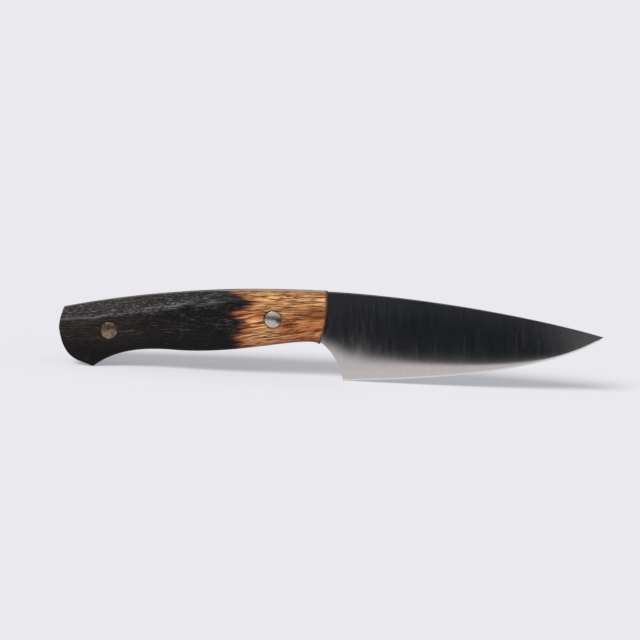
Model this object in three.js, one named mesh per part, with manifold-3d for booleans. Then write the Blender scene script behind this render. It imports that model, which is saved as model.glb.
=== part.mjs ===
// A bar knife: a short fixed blade whose full tang is sandwiched between two charred oak scales.
// Each scale is bedded on a thin film of epoxy, and two domed steel pins pass through everything.
// Millimetres. The knife stands on its heel and on the beak of its butt: +X points to the tip,
// +Z to the spine, and Y runs across the thickness, with the blade's middle plane at zero.
// Every outline is drawn in X and Z with the heel at the origin.

import * as THREE from 'three';
import { mergeVertices } from 'three/addons/utils/BufferGeometryUtils.js';
import Module from 'manifold-3d';

// Blade
const BLADE_LENGTH = 97.4;
const SPINE_HEIGHT = 33.5;
const TIP_HEIGHT = 23.45;
const STOCK = 2.4;
const TIP_STOCK = 0.9;
const BEVEL_HEIGHT = 0.7;
const BEVEL_THICKNESS = 0.4;
const PLUNGE_TO_HEEL = 2;
const PLUNGE_TO_SCALES = 1.1;

// Handle
const HANDLE_LENGTH = 100;
const SCALES_TO_HEEL = 8.4;
const SCALE_THICKNESS = 7.2;
const FILM_THICKNESS = 0.15;
const BUTT_TOP_HEIGHT = 20.75;
const BUTT_TOP_INSET = 0.9;
const BUTT_BULGE_HEIGHT = 14;
const BEAK_TO_BUTT = 13.7;
const GRIP_LOW_HEIGHT = 8.3;
const GRIP_LOW_TO_BUTT = 42.4;
const GRIP_FRONT_HEIGHT = 15;
const FRONT_CORNER_HEIGHT = 14.3;
const FRONT_CORNER_SETBACK = 1.5;
const FRONT_CORNER_ROUND = 3.1;
const FRONT_CHAMFER = 0.6;
const FACET_DROP = 4.4;
const TOP_EDGE_THICKNESS = 0.7;
const BELLY_ROUND = 3.6;
const BELLY_EDGE_THICKNESS = 4.6;

// Pins
const PIN_DIAMETER = 6.35;
const PIN_DOME = 0.35;
const PIN_CLEARANCE = 0.05;
const REAR_PIN_TO_BUTT = 18.9;
const FRONT_PIN_TO_SCALES = 19.8;

// Pull points of the curves, as shares of the span that a curve crosses in X and in Z
const SPINE_PULLS = [[0.344, -0.05], [0.75, 0.42]];
const EDGE_PULLS = [[0.438, 0.149], [0.832, 0.435]];
const CHOIL_PULLS = [[0.495, 0.189], [0.758, 0.497]];
const HANDLE_TOP_PULLS = [[0.333, 0.687], [0.661, 0.953]];
const BUTT_UPPER_PULLS = [[1, 0.5]];
const BUTT_LOWER_PULLS = [[0.19, 0.97], [0.68, 0.81]];
const BEAK_PULLS = [[0.232, 0.658], [0.505, 1]];
const GRIP_PULLS = [[0.43, -0.08], [0.8, 0.97]];
const FRONT_CORNER_PULLS = [[0.58, 0]];
const SCALES_FRONT_PULLS = [[-1, 0.47]];

// Grid steps along the pieces, rows across them, and sides of the round pieces
const HANDLE_STEPS = 28;
const CHOIL_STEPS = 7;
const EDGE_STEPS = 33;
const BLADE_ROWS = [0, 0.3, 0.6, 0.85];
const FACET_ROWS = [0, 0.12, 0.35, 0.65, 1];
const SIDE_ROWS = [0.18, 0.36, 0.52, 0.68, 0.84];
const BELLY_ROWS = [1, 0.6, 0.3, 0.1, 0];
const PIN_SIDES = 32;
const DOME_STEPS = 3;
const BEVEL_SHARE = 0.4;
const MERGE_DISTANCE = 1e-4;

const NEAR = -1;
const FAR = 1;

const { lerp, smoothstep, clamp } = THREE.MathUtils;
const at = (x, z) => new THREE.Vector2(x, z);
const steps = (count) => Array.from({ length: count + 1 }, (_, i) => i / count);

// Places that the outlines share

const buttX = -SCALES_TO_HEEL - HANDLE_LENGTH;
const heel = at(0, 0);
const tip = at(BLADE_LENGTH, TIP_HEIGHT);
const scalesTop = at(-SCALES_TO_HEEL, SPINE_HEIGHT);
const frontCorner = at(scalesTop.x - FRONT_CORNER_SETBACK, FRONT_CORNER_HEIGHT);
const gripFront = at(frontCorner.x - FRONT_CORNER_ROUND, GRIP_FRONT_HEIGHT);
const gripLow = at(buttX + GRIP_LOW_TO_BUTT, GRIP_LOW_HEIGHT);
const beak = at(buttX + BEAK_TO_BUTT, 0);
const buttBulge = at(buttX, BUTT_BULGE_HEIGHT);
const buttTop = at(buttX + BUTT_TOP_INSET, BUTT_TOP_HEIGHT);

const filmInside = STOCK / 2;
const scaleInside = filmInside + FILM_THICKNESS;
const handleHalf = scaleInside + SCALE_THICKNESS;

// Outlines

// A smooth curve from one place to another, drawn towards one or two pull points
function bend(start, pulls, end) {
  const points = pulls.map(([x, z]) => at(lerp(start.x, end.x, x), lerp(start.y, end.y, z)));
  return points.length === 1
    ? new THREE.QuadraticBezierCurve(start, ...points, end)
    : new THREE.CubicBezierCurve(start, ...points, end);
}

function path(...curves) {
  const whole = new THREE.CurvePath();
  curves.forEach((curve) => whole.add(curve));
  return whole;
}

const spine = bend(scalesTop, SPINE_PULLS, tip);
const edge = bend(heel, EDGE_PULLS, tip);
const choil = bend(frontCorner, CHOIL_PULLS, heel);
const scalesFront = bend(scalesTop, SCALES_FRONT_PULLS, frontCorner);
const handleTop = bend(buttTop, HANDLE_TOP_PULLS, scalesTop);
const butt = path(
  bend(buttTop, BUTT_UPPER_PULLS, buttBulge),
  bend(buttBulge, BUTT_LOWER_PULLS, beak),
);
const underside = path(
  bend(beak, BEAK_PULLS, gripLow),
  bend(gripLow, GRIP_PULLS, gripFront),
  bend(gripFront, FRONT_CORNER_PULLS, frontCorner),
);

// The height of a curve that runs steadily towards +X, at a given X
function heightAt(curve, x) {
  let low = 0;
  let high = 1;
  while (high - low > Number.EPSILON) {
    const middle = (low + high) / 2;
    if (curve.getPointAt(middle).x < x) {
      low = middle;
    } else {
      high = middle;
    }
  }
  return curve.getPointAt(low).y;
}

// A surface spanned by four outlines: two blends of opposite sides, less the blend of the corners
function patch(top, bottom, rear, front) {
  const mix = (a, b, share) => a.clone().lerp(b, share);
  return (s, t) => {
    const corners = mix(mix(top(0), top(1), s), mix(bottom(0), bottom(1), s), t);
    return mix(top(s), bottom(s), t).add(mix(rear(t), front(t), s)).sub(corners);
  };
}

const along = (curve) => (share) => curve.getPointAt(share);
const handlePatch = patch(along(handleTop), along(underside), along(butt), along(scalesFront));

// Over its first steps the blade's lower outline is the choil, and after the heel it is the edge
const heelStep = CHOIL_STEPS / (CHOIL_STEPS + EDGE_STEPS);
const heelShare = SCALES_TO_HEEL / (SCALES_TO_HEEL + BLADE_LENGTH);
const lowerOutline = (share) => (share <= heelStep
  ? choil.getPointAt(share / heelStep)
  : edge.getPointAt((share - heelStep) / (1 - heelStep)));
const spineOutline = (share) => spine.getPointAt(share <= heelStep
  ? heelShare * share / heelStep
  : lerp(heelShare, 1, (share - heelStep) / (1 - heelStep)));
const bladePatch = patch(spineOutline, lowerOutline, along(scalesFront), () => tip);

// Skins

// A grid of points on a patch. Each has X, Z and its depth in Y on the near and far side.
function gridOver(surface, shares, rowsAt, depths) {
  return shares.map((s, column) => rowsAt(surface(s, 0).distanceTo(surface(s, 1))).map((t, row) => {
    const { x, y: z } = surface(s, t);
    const [near, far] = depths({ x, z, column, row });
    return { x, z, near, far };
  }));
}

const corner = (point, side) => [point.x, side === NEAR ? point.near : point.far, point.z];

// One triangle of a side, given in the order that faces out on the near side
function facing(side, ...points) {
  const corners = points.map((point) => corner(point, side));
  return side === NEAR ? corners : corners.reverse();
}

// The faces of a grid on one side
function sheet(grid, side) {
  return grid.slice(1).flatMap((next, c) => next.slice(1).flatMap((_, r) => [
    facing(side, grid[c][r], grid[c][r + 1], next[r + 1]),
    facing(side, grid[c][r], next[r + 1], next[r]),
  ]));
}

// A flat face inside a loop of points on one side
function lid(loop, side) {
  const points = [...loop].reverse();
  const contour = points.map(({ x, z }) => at(x, z));
  return THREE.ShapeUtils.triangulateShape(contour, [])
    .map((face) => facing(side, ...face.map((i) => points[i])));
}

// The narrow faces round a loop, between its near and far depths
function band(loop) {
  return loop.flatMap((point, i) => {
    const next = loop[(i + 1) % loop.length];
    return [
      [corner(point, NEAR), corner(next, NEAR), corner(next, FAR)],
      [corner(point, NEAR), corner(next, FAR), corner(point, FAR)],
    ];
  });
}

// The loop round four sides: top and bottom run forward, rear and front run down
function around(top, bottom, rear, front) {
  const back = (list) => [...list].reverse().slice(1);
  return [...top, ...front.slice(1), ...back(bottom), ...back(rear).slice(0, -1)];
}

const rowOf = (grid, row) => grid.map((column) => column.at(row));
const loopOf = (grid) => around(rowOf(grid, 0), rowOf(grid, -1), grid[0], grid.at(-1));

// Points that fall together, as at the cutting edge, become one, and empty faces are dropped
function welded(geometry) {
  geometry.deleteAttribute('normal');
  geometry.deleteAttribute('uv');
  const merged = mergeVertices(geometry, MERGE_DISTANCE);
  const index = Array.from(merged.index.array);
  const faces = index.flatMap((a, i) => (i % 3 ? [] : [[a, index[i + 1], index[i + 2]]]));
  return merged.setIndex(faces.filter((face) => new Set(face).size === 3).flat());
}

function skinOf(...triangles) {
  const skin = new THREE.BufferGeometry();
  const positions = triangles.flat(3);
  skin.setAttribute('position', new THREE.Float32BufferAttribute(positions, 3));
  return welded(skin);
}

// A round bar along Y, turned from half a profile of radius and Y
function turned(profile) {
  return welded(new THREE.LatheGeometry(profile, PIN_SIDES));
}

// Pin holes

const wasm = await Module();
wasm.setup();

function solidOf(geometry) {
  return new wasm.Manifold(new wasm.Mesh({
    numProp: 3,
    vertProperties: new Float32Array(geometry.attributes.position.array),
    triVerts: new Uint32Array(geometry.index.array),
  }));
}

function geometryOf(solid) {
  const mesh = solid.getMesh();
  const geometry = new THREE.BufferGeometry();
  geometry.setAttribute('position', new THREE.Float32BufferAttribute(mesh.vertProperties, 3));
  return geometry.setIndex(new THREE.Uint32BufferAttribute(mesh.triVerts, 1));
}

// Both pins sit halfway between the handle's back and its underside
const [rearPlace, frontPlace] = [buttX + REAR_PIN_TO_BUTT, scalesTop.x - FRONT_PIN_TO_SCALES].map((x) => (
  at(x, (heightAt(handleTop, x) + heightAt(underside, x)) / 2)
));

function drilled(skin) {
  const radius = PIN_DIAMETER / 2 + PIN_CLEARANCE;
  const reach = 2 * handleHalf;
  const bore = turned([at(0, -reach), at(radius, -reach), at(radius, reach), at(0, reach)]);
  const holes = [rearPlace, frontPlace].map(({ x, y: z }) => solidOf(bore.clone().translate(x, 0, z)));
  return geometryOf(holes.reduce((solid, hole) => solid.subtract(hole), solidOf(skin)));
}

// Blade

// The edge bevel shrinks where the blade is too low for it, close to the tip
const bevelOn = (height) => Math.min(BEVEL_HEIGHT, BEVEL_SHARE * height);

function bladeRows(height) {
  const bevel = bevelOn(height) / Math.max(height, MERGE_DISTANCE);
  return [...BLADE_ROWS, 1 - bevel, 1];
}

// Half the blade's thickness at a point. The grind narrows straight from the spine to a small
// bevel at the edge, the spine thins towards the tip, and the grind fades out before the scales.
function bladeHalf(x, z) {
  if (x >= tip.x - MERGE_DISTANCE) {
    return 0;
  }
  const edgeZ = x > heel.x ? heightAt(edge, x) : heel.y;
  const height = heightAt(spine, x) - edgeZ;
  const above = clamp(z - edgeZ, 0, height);
  const bevel = bevelOn(height);
  const spineHalf = lerp(STOCK, TIP_STOCK, Math.max(x, 0) / BLADE_LENGTH) / 2;
  const bevelHalf = Math.min(BEVEL_THICKNESS, spineHalf) / 2;
  const ground = above < bevel
    ? bevelHalf * above / bevel
    : lerp(bevelHalf, spineHalf, (above - bevel) / (height - bevel));
  const settled = smoothstep(-x, PLUNGE_TO_HEEL, SCALES_TO_HEEL - PLUNGE_TO_SCALES);
  return lerp(ground, STOCK / 2, settled);
}

function makeBlade() {
  const flat = () => [-STOCK / 2, STOCK / 2];
  const tang = gridOver(handlePatch, scaleSteps, scaleRows, flat);
  const blade = gridOver(bladePatch, steps(CHOIL_STEPS + EDGE_STEPS), bladeRows, ({ x, z, column }) => {
    const half = column === 0 ? STOCK / 2 : bladeHalf(x, z);
    return [-half, half];
  });
  const tangLoop = around(rowOf(tang, 0), rowOf(tang, -1), tang[0], blade[0]);
  const top = [...rowOf(tang, 0), ...rowOf(blade, 0).slice(1)];
  const bottom = [...rowOf(tang, -1), ...rowOf(blade, -1).slice(1)];
  return drilled(skinOf(
    ...[NEAR, FAR].flatMap((side) => [lid(tangLoop, side), sheet(blade, side)]),
    band(around(top, bottom, tang[0], blade.at(-1))),
  ));
}

// Scales and their bedding films

// Steps along the scales, with one more where the chamfer of their front ends begins
const scaleSteps = [...steps(HANDLE_STEPS).slice(0, -1), 1 - FRONT_CHAMFER / HANDLE_LENGTH, 1];

// Rows of a scale: down the upper facet, across the flat side, and round the belly
function scaleRows(height) {
  const facetEnd = FACET_DROP / height;
  const bellyStart = 1 - BELLY_ROUND / height;
  return [
    ...FACET_ROWS.map((share) => share * facetEnd),
    ...SIDE_ROWS.map((share) => lerp(facetEnd, bellyStart, share)),
    ...BELLY_ROWS.map((share) => lerp(1, bellyStart, share)),
  ];
}

// A scale's thickness. Its upper facet is flat at the butt and rounds over towards the blade,
// its belly is a quarter of an ellipse, and its front end is chamfered.
function scaleThickness(column, row) {
  const quarter = (share) => Math.sqrt(1 - (1 - share) ** 2);
  const facet = FACET_ROWS[row] ?? 1;
  const belly = BELLY_ROWS[row - FACET_ROWS.length - SIDE_ROWS.length] ?? 1;
  const crown = lerp(facet, quarter(facet), scaleSteps[column]);
  return Math.min(
    lerp(TOP_EDGE_THICKNESS, SCALE_THICKNESS, crown),
    lerp(BELLY_EDGE_THICKNESS, SCALE_THICKNESS, quarter(belly)),
    column === scaleSteps.length - 1 ? SCALE_THICKNESS - FRONT_CHAMFER : SCALE_THICKNESS,
  );
}

// The near and far depths of a layer that starts and ends this far from the middle plane
const layer = (side, inner, outer) => (side === NEAR ? [-outer, -inner] : [inner, outer]);

function makeScale(side) {
  const grid = gridOver(handlePatch, scaleSteps, scaleRows, ({ column, row }) => (
    layer(side, scaleInside, scaleInside + scaleThickness(column, row))
  ));
  const loop = loopOf(grid);
  return drilled(skinOf(sheet(grid, side), lid(loop, -side), band(loop)));
}

function makeFilm(side) {
  const depths = layer(side, filmInside, scaleInside);
  const loop = loopOf(gridOver(handlePatch, scaleSteps, scaleRows, () => depths));
  return drilled(skinOf(lid(loop, NEAR), lid(loop, FAR), band(loop)));
}

// A pin whose domed ends just reach the flat sides of the scales
function makePin({ x, y: z }) {
  const radius = PIN_DIAMETER / 2;
  const ball = (radius ** 2 + PIN_DOME ** 2) / (2 * PIN_DOME);
  const dome = steps(DOME_STEPS).map((share) => {
    const out = radius * share;
    return at(out, handleHalf - ball + Math.sqrt(ball ** 2 - out ** 2));
  });
  const lower = dome.map((point) => at(point.x, -point.y));
  return turned([...lower, ...dome.reverse()]).translate(x, 0, z);
}

// Assembly

const steel = { color: 0x8d9092, roughness: 0.28, metalness: 1 };
const tintedSteel = { color: 0x7d6a5c, roughness: 0.36, metalness: 1 };
const charredOak = { color: 0x4a3122, roughness: 0.62, metalness: 0 };
const epoxy = { color: 0x1d1916, roughness: 0.3, metalness: 0 };

const pieces = [
  ['blade_with_tang', makeBlade(), steel],
  ['bond_film_right', makeFilm(NEAR), epoxy],
  ['bond_film_left', makeFilm(FAR), epoxy],
  ['handle_scale_right', makeScale(NEAR), charredOak],
  ['handle_scale_left', makeScale(FAR), charredOak],
  ['rear_pin', makePin(rearPlace), tintedSteel],
  ['front_pin', makePin(frontPlace), steel],
];

const knife = new THREE.Group();
pieces.forEach(([name, geometry, finish]) => {
  const mesh = new THREE.Mesh(geometry, new THREE.MeshStandardMaterial({ ...finish, flatShading: true }));
  mesh.name = name;
  knife.add(mesh);
});

// The origin is on the floor, midway between the butt and the tip
knife.position.x = -(buttX + tip.x) / 2;

export default knife;
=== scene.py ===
"""The looks of a bar knife: a short satin steel blade with a full tang between two charred oak scales.

Sizes are in millimetres. The knife stands on its heel and on the beak of its butt: +X points to the tip,
+Z to the spine, and the right-hand side, which the camera sees, faces -Y.
"""

import bmesh
import bpy
import numpy as np
from mathutils import Matrix, Vector


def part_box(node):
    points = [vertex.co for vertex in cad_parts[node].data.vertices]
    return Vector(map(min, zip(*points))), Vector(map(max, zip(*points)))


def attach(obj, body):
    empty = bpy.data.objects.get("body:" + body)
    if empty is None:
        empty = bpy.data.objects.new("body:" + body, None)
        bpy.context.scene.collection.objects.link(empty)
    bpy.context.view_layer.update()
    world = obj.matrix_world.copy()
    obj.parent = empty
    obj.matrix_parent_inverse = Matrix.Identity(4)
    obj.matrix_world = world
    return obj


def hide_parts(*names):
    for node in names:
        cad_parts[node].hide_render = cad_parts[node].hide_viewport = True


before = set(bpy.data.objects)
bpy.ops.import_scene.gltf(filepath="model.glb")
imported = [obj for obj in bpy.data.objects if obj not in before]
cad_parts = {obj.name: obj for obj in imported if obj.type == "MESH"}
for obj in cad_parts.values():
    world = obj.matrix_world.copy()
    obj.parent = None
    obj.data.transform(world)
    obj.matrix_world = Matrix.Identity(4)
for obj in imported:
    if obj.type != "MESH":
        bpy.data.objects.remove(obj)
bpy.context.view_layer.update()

# Blade with tang
# One piece of flat steel, ground to a fine edge in front and left at full thickness as the tang.
# It is satin finished with scratches from spine to edge, and the two pins pass through the tang.

MM = 0.001
BLADE_LENGTH = 97.4
SPINE_HEIGHT = 33.5
TIP_HEIGHT = 23.45
TIP_STOCK = 0.9
TIP_TAPER = 7.0
BEVEL_HEIGHT = 0.7
BEVEL_THICKNESS = 0.4
BEVEL_SHARE = 0.4
GRIND_SWELL = 0.17
GRIND_SWELL_REACH = 2.1
PLUNGE_AHEAD = 5.0
PLUNGE_TO_SCALES = 0.2
CHOIL_EASE = 0.12
CHOIL_EASE_REACH = 8.0
CHOIL_EASE_FADE = 1.0
SCALE_DIP = 0.07
SCALE_DIP_REACH = 2.6
SPINE_ROUND = 0.03
SPINE_ROUND_SHARE = 0.1
SPINE_HOLD = 0.05
SPINE_HOLD_SHARE = 0.15
SCALES_TO_HEEL = 8.4
HANDLE_LENGTH = 100.0
BUTT_TOP_HEIGHT = 20.75
BUTT_TOP_INSET = 0.9
BUTT_BULGE_HEIGHT = 14.0
BEAK_TO_BUTT = 13.7
GRIP_LOW_HEIGHT = 8.3
GRIP_LOW_TO_BUTT = 42.4
GRIP_FRONT_HEIGHT = 15.0
FRONT_CORNER_HEIGHT = 14.3
FRONT_CORNER_SETBACK = 1.5
FRONT_CORNER_ROUND = 3.1
PIN_CLEARANCE = 0.05

# Points that pull the curves of the outline, as shares of each curve's span in X and in Z.
SPINE_PULLS = [(0.344, -0.05), (0.75, 0.42)]
EDGE_PULLS = [(0.438, 0.149), (0.832, 0.435)]
CHOIL_PULLS = [(0.495, 0.189), (0.758, 0.497)]
SCALES_FRONT_PULLS = [(-1, 0.47)]
HANDLE_TOP_PULLS = [(0.333, 0.687), (0.661, 0.953)]
BUTT_TOP_PULLS = [(1, 0.5)]
BUTT_LOW_PULLS = [(0.19, 0.97), (0.68, 0.81)]
BEAK_PULLS = [(0.232, 0.658), (0.505, 1)]
GRIP_PULLS = [(0.43, -0.08), (0.8, 0.97)]
GRIP_FRONT_PULLS = [(0.58, 0)]

CURVE_STEPS = 400
CHOIL_SKIP = 8
TANG_COLUMNS = 150
CHOIL_COLUMNS = 36
EDGE_COLUMNS = 190
BLADE_ROWS = 76
BEVEL_ROWS = 3
CORNER_STEPS = 4
HOLE_BLOCK = 0.85
HOLE_FADE = 3.0
WELD = 2e-7
SHARP_ANGLE = np.radians(38)
BEVEL_MARK = "edge_bevel"


def millimetres(node):
    """The lowest and highest corners of a node of the frame, in millimetres."""
    return tuple(np.array(corner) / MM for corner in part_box(node))


def bend(start, pulls, end):
    """A fine polyline on the Bezier curve from start to end. A pull point lies at a share of the span
    in X and in Z, and the curve comes from blending neighbouring points until one is left."""
    start, end = np.array(start), np.array(end)
    points = [start, *(start + (end - start) * np.array(pull) for pull in pulls), end]
    share = np.linspace(0, 1, CURVE_STEPS)[:, None]
    while len(points) > 1:
        points = [a + (b - a) * share for a, b in zip(points, points[1:])]
    return points[0]


def along(line, shares):
    """Points on a polyline at shares of its length."""
    lengths = np.append(0, np.cumsum(np.linalg.norm(np.diff(line, axis=0), axis=1)))
    return np.stack([np.interp(shares * lengths[-1], lengths, axis) for axis in line.T], axis=-1)


def ease(value, start, end):
    """A smooth step from 0 at start to 1 at end."""
    share = np.clip((value - start) / (end - start), 0, 1)
    return share * share * (3 - 2 * share)


def blend(first, second, share):
    """A straight blend, from the first at share 0 to the second at share 1."""
    return first + (second - first) * share


tip_x = millimetres("blade_with_tang")[1][0]
heel = np.array([tip_x - BLADE_LENGTH, 0.0])
tip = np.array([tip_x, TIP_HEIGHT])
butt_x = heel[0] - SCALES_TO_HEEL - HANDLE_LENGTH
scales_top = np.array([heel[0] - SCALES_TO_HEEL, SPINE_HEIGHT])
front_corner = np.array([scales_top[0] - FRONT_CORNER_SETBACK, FRONT_CORNER_HEIGHT])
grip_front = np.array([front_corner[0] - FRONT_CORNER_ROUND, GRIP_FRONT_HEIGHT])
grip_low = np.array([butt_x + GRIP_LOW_TO_BUTT, GRIP_LOW_HEIGHT])
beak = np.array([butt_x + BEAK_TO_BUTT, 0.0])
butt_bulge = np.array([butt_x, BUTT_BULGE_HEIGHT])
butt_top = np.array([butt_x + BUTT_TOP_INSET, BUTT_TOP_HEIGHT])

spine = bend(scales_top, SPINE_PULLS, tip)
edge = bend(heel, EDGE_PULLS, tip)
choil = bend(front_corner, CHOIL_PULLS, heel)
scales_front = bend(scales_top, SCALES_FRONT_PULLS, front_corner)
handle_top = bend(butt_top, HANDLE_TOP_PULLS, scales_top)
butt = np.vstack([
    bend(butt_top, BUTT_TOP_PULLS, butt_bulge),
    bend(butt_bulge, BUTT_LOW_PULLS, beak)[1:],
])
underside = np.vstack([
    bend(beak, BEAK_PULLS, grip_low),
    bend(grip_low, GRIP_PULLS, grip_front)[1:],
    bend(grip_front, GRIP_FRONT_PULLS, front_corner)[1:],
])

film_inside = millimetres("bond_film_left")[0][1]
scale_inside = millimetres("handle_scale_left")[0][1]
handle_half = millimetres("handle_scale_left")[1][1]
pin_boxes = [millimetres("rear_pin"), millimetres("front_pin")]
pin_places = [((low + high) / 2)[[0, 2]] for low, high in pin_boxes]
pin_radius = (pin_boxes[0][1][0] - pin_boxes[0][0][0]) / 2
hole_radius = pin_radius + PIN_CLEARANCE


def patch(top, bottom, rear, front, across, down):
    """Points inside four outlines: the blend of top and bottom, plus the blend of rear and front, less the
    blend of the four corners. Across has a share for each column, and down one for each column and row."""
    across = across[:, None, None]
    rows = down[..., None]
    upright = blend(top[:, None], bottom[:, None], rows)
    level = blend(along(rear, down), along(front, down), across)
    corners = blend(blend(top[0], top[-1], across), blend(bottom[0], bottom[-1], across), rows)
    return upright + level - corners


def handle_patch(across, down):
    """Points inside the outline that tang, films and scales share, from the butt to the scales' front."""
    return patch(along(handle_top, across), along(underside, across), butt, scales_front, across, down)


def drill(points):
    """Opens the pin holes in a grid of X and Z. A block of cells round each pin's centre is left out. From
    the block's border to a few times as far out, distances from the centre are stretched evenly, so that the
    border falls on the hole. Returns the moved grid and the first and last column and row of each block."""
    points = points.copy()
    blocks = []
    for place in pin_places:
        offset = points - place
        distance = np.linalg.norm(offset, axis=-1)
        column, row = np.unravel_index(np.argmin(distance), distance.shape)
        wide = np.linalg.norm(points[column + 1, row] - points[column, row])
        high = np.linalg.norm(points[column, row + 1] - points[column, row])
        columns = round(HOLE_BLOCK * hole_radius / wide)
        rows = round(HOLE_BLOCK * hole_radius / high)
        steps = np.maximum(
            np.abs(np.arange(len(points)) - column)[:, None] / columns,
            np.abs(np.arange(points.shape[1]) - row)[None] / rows,
        )
        near = (steps >= 1) & (steps < HOLE_FADE)
        border = distance[near] / steps[near]
        outer = HOLE_FADE * border
        moved = hole_radius + (distance[near] - border) * (outer - hole_radius) / (outer - border)
        points[near] = place + offset[near] * (moved / distance[near])[:, None]
        blocks.append((column - columns, column + columns, row - rows, row + rows))
    return points, blocks


def round_loop(numbers, first, last, top, bottom):
    """The point numbers round a block of a grid: along its top, down its front and back again."""
    return np.concatenate([
        numbers[first:last, top],
        numbers[last, top:bottom],
        numbers[last:first:-1, bottom],
        numbers[first, bottom:top:-1],
    ])


def skin(points, near, far, blocks):
    """A closed skin: a grid of X and Z at its near and at its far Y, with a band round the outside and round
    each hole. Returns the points and the four-sided faces."""
    x, z = points[..., 0], points[..., 1]
    columns, rows = x.shape
    sides = [np.dstack([x, np.broadcast_to(y, x.shape), z]) for y in (near, far)]
    numbers = np.arange(x.size).reshape(x.shape)
    kept = np.ones((columns - 1, rows - 1), bool)
    for first, last, top, bottom in blocks:
        kept[first:last, top:bottom] = False
    corners = [numbers[:-1, :-1], numbers[:-1, 1:], numbers[1:, 1:], numbers[1:, :-1]]
    cells = np.stack(corners, axis=-1)[kept]
    loops = [round_loop(numbers, 0, columns - 1, 0, rows - 1)]
    loops += [round_loop(numbers, *block)[::-1] for block in blocks]
    bands = []
    for loop in loops:
        onward = np.roll(loop, -1)
        bands.append(np.stack([loop, onward, onward + x.size, loop + x.size], axis=-1))
    faces = np.vstack([cells, cells[:, ::-1] + x.size, *bands])
    return np.concatenate(sides).reshape(-1, 3), faces


def add_piece(name, shape, material, replaced, marks=()):
    """Makes a piece from points in millimetres and faces, with named values at its points. Points that fall
    together are welded. It is shaded smooth between its sharp edges and takes the place of a CAD node."""
    points, faces = shape
    used, faces = np.unique(faces, return_inverse=True)
    mesh = bpy.data.meshes.new(name)
    mesh.from_pydata(points[used] * MM, [], faces.reshape(-1, 4).tolist())
    for mark, values in dict(marks).items():
        at_points = mesh.attributes.new(mark, "FLOAT", "POINT").data
        at_points.foreach_set("value", np.tile(values.ravel(), 2)[used])
    welded = bmesh.new()
    welded.from_mesh(mesh)
    bmesh.ops.remove_doubles(welded, verts=welded.verts, dist=WELD)
    welded.to_mesh(mesh)
    welded.free()
    mesh.shade_smooth()
    mesh.set_sharp_from_angle(angle=SHARP_ANGLE)
    mesh.materials.append(material)
    piece = bpy.data.objects.new(name, mesh)
    bpy.context.scene.collection.objects.link(piece)
    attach(piece, "root")
    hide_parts(replaced)
    return piece


def blade_half(points):
    """Half the thickness of the blade. From the spine it narrows evenly to a small bevel at the edge, plus a
    slight swell that rises from the bevel and levels off as an exponential. The spine thins towards the tip,
    and to a point over the last stretch, as a square root. The grind fades out before the scales, and beside
    them the polish dug a slight dip. The choil's corner is eased with the square of the nearness to it."""
    x, z = points[..., 0], points[..., 1]
    edge_z = np.interp(x, *edge.T)
    height = np.maximum(np.interp(x, *spine.T) - edge_z, WELD)
    above = np.clip(z - edge_z, 0, height)
    bevel = np.minimum(BEVEL_HEIGHT, BEVEL_SHARE * height)
    thinning = np.clip((x - heel[0]) / BLADE_LENGTH, 0, 1)
    point = np.sqrt(np.clip((tip[0] - x) / TIP_TAPER, 0, 1))
    spine_half = blend(film_inside, TIP_STOCK / 2, thinning) * point
    bevel_half = np.minimum(BEVEL_THICKNESS / 2, spine_half / 2)
    swell = np.minimum(GRIND_SWELL, (spine_half - bevel_half) / 2)
    climb = np.clip((above - bevel) / (height - bevel), 0, 1)
    ground = blend(bevel_half, spine_half - swell, climb)
    ground += swell * (1 - np.exp(-np.maximum(above - bevel, 0) / GRIND_SWELL_REACH))
    ground = np.where(above < bevel, bevel_half * above / bevel, ground)
    plunge = ease(heel[0] - x, -PLUNGE_AHEAD, SCALES_TO_HEEL - PLUNGE_TO_SCALES)
    half = blend(ground, film_inside, plunge)
    ahead = x - np.interp(-z, -scales_front[:, 1], scales_front[:, 0])
    half = half - SCALE_DIP * ease(ahead, SCALE_DIP_REACH, 0)
    from_choil = np.min(np.linalg.norm(points[..., None, :] - choil[::CHOIL_SKIP], axis=-1), axis=-1)
    nearness = np.clip(1 - from_choil / CHOIL_EASE_REACH, 0, 1)
    eased = CHOIL_EASE * ease(ahead, 0, CHOIL_EASE_FADE) * nearness ** 2
    by_heel = ease(heel[0] - x, -CHOIL_EASE_REACH, CHOIL_EASE_FADE)
    return half - np.minimum(eased, half / 2) * by_heel


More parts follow.
